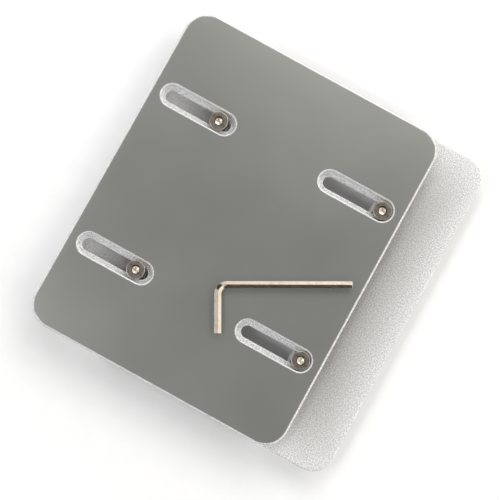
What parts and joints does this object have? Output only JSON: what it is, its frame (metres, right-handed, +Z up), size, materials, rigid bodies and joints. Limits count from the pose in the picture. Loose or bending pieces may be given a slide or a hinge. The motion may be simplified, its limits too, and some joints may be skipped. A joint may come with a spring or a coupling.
{
  "type": "watch movement holder",
  "caption": "Movement holder for watch and clock repair: flat lapped base plate, sliding jaws with soft notched grips, clamp screws in counterbored slots, and a hex key.",
  "frame": {"origin": "under the middle of the whole object, on the surface that the jaws' working faces lie on, with the right jaw drawn out", "axes": "+X is the way the right jaw slides out, +Y runs along the jaws, +Z points up out of the lapped base face, because the holder lies jaws down"},
  "size_m": [0.1664, 0.175, 0.0222],
  "materials": {
    "lapped_aluminium": "fine lapped satin face, bead-blasted edges and slots",
    "blasted_aluminium": "bead-blasted, fine bright sparkle",
    "nickel_steel": "nickel-plated, fine turning marks",
    "insert_steel": "plain turned steel",
    "grip_plastic": "machined acetal, faint milling marks",
    "key_steel": "nickel-plated drawn bar"
  },
  "bodies": {
    "base": {"base_plate": "lapped_aluminium"},
    "left_jaw": {"left_jaw": "blasted_aluminium", "left_grip": "grip_plastic", "thread_insert_upper_left": "insert_steel", "grip_screw_upper_left": "nickel_steel", "thread_insert_lower_left": "insert_steel", "grip_screw_lower_left": "nickel_steel"},
    "right_jaw": {"right_jaw": "blasted_aluminium", "right_grip": "grip_plastic", "thread_insert_upper_right": "insert_steel", "grip_screw_upper_right": "nickel_steel", "thread_insert_lower_right": "insert_steel", "grip_screw_lower_right": "nickel_steel"},
    "clamp_screw_upper_left": {"clamp_screw_upper_left": "nickel_steel"},
    "clamp_screw_lower_left": {"clamp_screw_lower_left": "nickel_steel"},
    "clamp_screw_upper_right": {"clamp_screw_upper_right": "nickel_steel"},
    "clamp_screw_lower_right": {"clamp_screw_lower_right": "nickel_steel"},
    "hex_key": {"hex_key": "key_steel"}
  },
  "joints": [
    {"name": "left_jaw_slide", "type": "slide", "parent": "base", "child": "left_jaw", "axis": [-1, 0, 0], "range_m": [-0.0025, 0.0264]},
    {"name": "right_jaw_slide", "type": "slide", "parent": "base", "child": "right_jaw", "axis": [1, 0, 0], "range_m": [-0.0289, 0]},
    {"name": "clamp_screw_upper_left_turn", "type": "hinge", "parent": "left_jaw", "child": "clamp_screw_upper_left", "pos_m": [-0.046, 0.042, 0.016], "axis": [0, 0, 1], "range_deg": [0, 360]},
    {"name": "clamp_screw_lower_left_turn", "type": "hinge", "parent": "left_jaw", "child": "clamp_screw_lower_left", "pos_m": [-0.046, -0.042, 0.016], "axis": [0, 0, 1], "range_deg": [0, 360]},
    {"name": "clamp_screw_upper_right_turn", "type": "hinge", "parent": "right_jaw", "child": "clamp_screw_upper_right", "pos_m": [0.046, 0.042, 0.016], "axis": [0, 0, 1], "range_deg": [0, 360]},
    {"name": "clamp_screw_lower_right_turn", "type": "hinge", "parent": "right_jaw", "child": "clamp_screw_lower_right", "pos_m": [0.046, -0.042, 0.016], "axis": [0, 0, 1], "range_deg": [0, 360]},
    {"name": "hex_key_lift", "type": "slide", "parent": "base", "child": "hex_key", "axis": [0, 0, 1], "range_m": [0, 0.04]}
  ]
}
